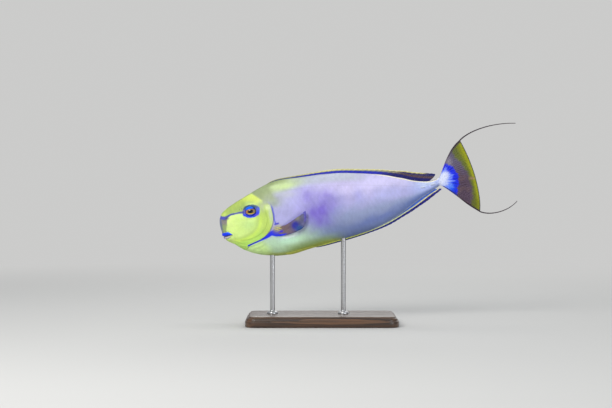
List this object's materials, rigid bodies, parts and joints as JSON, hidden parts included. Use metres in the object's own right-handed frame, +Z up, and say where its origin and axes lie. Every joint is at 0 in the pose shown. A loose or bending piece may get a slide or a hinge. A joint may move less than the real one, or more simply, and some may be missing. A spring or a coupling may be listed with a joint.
{
  "type": "bignose unicornfish model",
  "caption": "Still, life-size model of a bignose unicornfish, pitched head down, held on a display stand with a flat base and rods.",
  "frame": {"origin": "centre of the flat underside of the stand's base", "axes": "+X from the fish's snout towards its tail, -Y the fish's left side, +Z up"},
  "size_m": [0.5119, 0.14, 0.3462],
  "materials": {
    "head_skin": "fish skin finish, lime yellow with a pale grey-lavender band behind the crown, satin wet sheen",
    "lip": "saturated blue, smooth and slightly wet",
    "eye": "clear domed eye over a gold iris with a black pupil and a blue outer iris",
    "body_skin": "fish skin finish, pale lavender with violet flush and mint belly, minute scales, satin wet sheen",
    "dorsal_fin": "thin rayed membrane, olive and translucent with a cream margin and dark blue base line",
    "anal_fin": "thin rayed membrane, dark blue with a cream inner line",
    "caudal_fin": "rayed fin, blue fan at the base, smoky translucent membrane, yellow rear band with a black edge",
    "streamer": "thin dark filament",
    "pectoral_fin": "dusky translucent rayed fin with a blue lower edge",
    "pelvic_fin": "thin folded rayed fin, yellow",
    "keel_plate": "bony plate with a sharp keel, blue-white",
    "stand_base": "dark stained hardwood, satin lacquer",
    "stand_rod": "turned steel rod, fine brushed finish"
  },
  "bodies": {
    "root": {"head": "head_skin", "jaw": "head_skin", "gill_cover_left": "head_skin", "gill_cover_right": "head_skin", "upper_lip": "lip", "eye_left": "eye", "eye_right": "eye", "trunk": "body_skin", "tail_stalk": "body_skin", "dorsal_fin": "dorsal_fin", "anal_fin": "anal_fin", "caudal_fin": "caudal_fin", "caudal_streamer_upper": "streamer", "caudal_streamer_lower": "streamer", "pectoral_fin_left": "pectoral_fin", "pectoral_fin_right": "pectoral_fin", "pelvic_fin_left": "pelvic_fin", "pelvic_fin_right": "pelvic_fin", "keel_plate_left_front": "keel_plate", "keel_plate_left_rear": "keel_plate", "keel_plate_right_front": "keel_plate", "keel_plate_right_rear": "keel_plate", "stand_base": "stand_base", "stand_rod_front": "stand_rod", "stand_rod_rear": "stand_rod"}
  },
  "joints": []
}
